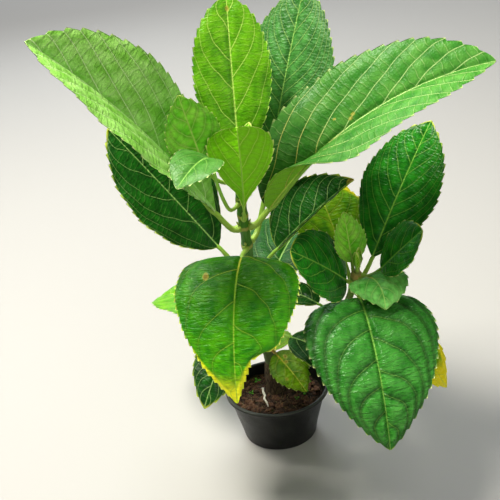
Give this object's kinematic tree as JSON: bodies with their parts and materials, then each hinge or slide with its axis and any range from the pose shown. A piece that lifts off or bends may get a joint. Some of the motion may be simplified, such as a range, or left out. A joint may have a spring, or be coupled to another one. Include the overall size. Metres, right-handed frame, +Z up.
{
  "type": "potted hydrangea shrub",
  "caption": "Young hydrangea shrub in a small soft nursery pot: big toothed leaves in opposite pairs on a main stem and a side shoot, for gardens, patios and sills.",
  "frame": {"origin": "centre of the pot's flat underside, on the ground", "axes": "+Z up; -Y towards the side that the picture was taken from, so the side shoot leans to +X"},
  "size_m": [0.3074, 0.2622, 0.3992],
  "materials": {
    "pot": "thin soft black plastic, dull",
    "soil": "moist potting mix with bark chips",
    "bark": "young rough bark",
    "stem": "smooth green stem with brown flecks",
    "leaf": "quilted leaf with a soft sheen",
    "young_leaf": "soft yellow-green young leaf",
    "old_leaf": "dull olive leaf with brown spots"
  },
  "bodies": {
    "root": {"pot": "pot", "soil": "soil", "trunk": "bark", "main_stem": "stem", "right_stem": "stem", "main_tip": "young_leaf", "right_tip": "young_leaf", "leaf_low_right": "leaf", "leaf_low_left": "leaf", "leaf_low_front": "leaf", "leaf_low_back": "leaf", "leaf_dark_left": "leaf", "leaf_dark_right": "leaf", "leaf_front": "leaf", "leaf_back_right": "leaf", "leaf_big_left": "leaf", "leaf_big_right": "leaf", "leaf_back_middle": "young_leaf", "leaf_cupped": "young_leaf", "leaf_young_back": "young_leaf", "leaf_young_left": "young_leaf", "leaf_young_right": "young_leaf", "shoot_leaf_low_right": "leaf", "shoot_leaf_low_left": "leaf", "shoot_leaf_front": "leaf", "shoot_leaf_back": "young_leaf", "shoot_leaf_right": "leaf", "shoot_leaf_left": "leaf", "shoot_leaf_small": "leaf", "shoot_leaf_upright": "young_leaf", "shoot_leaf_young": "leaf", "old_leaf_front": "old_leaf", "old_leaf_back": "old_leaf"}
  },
  "joints": []
}
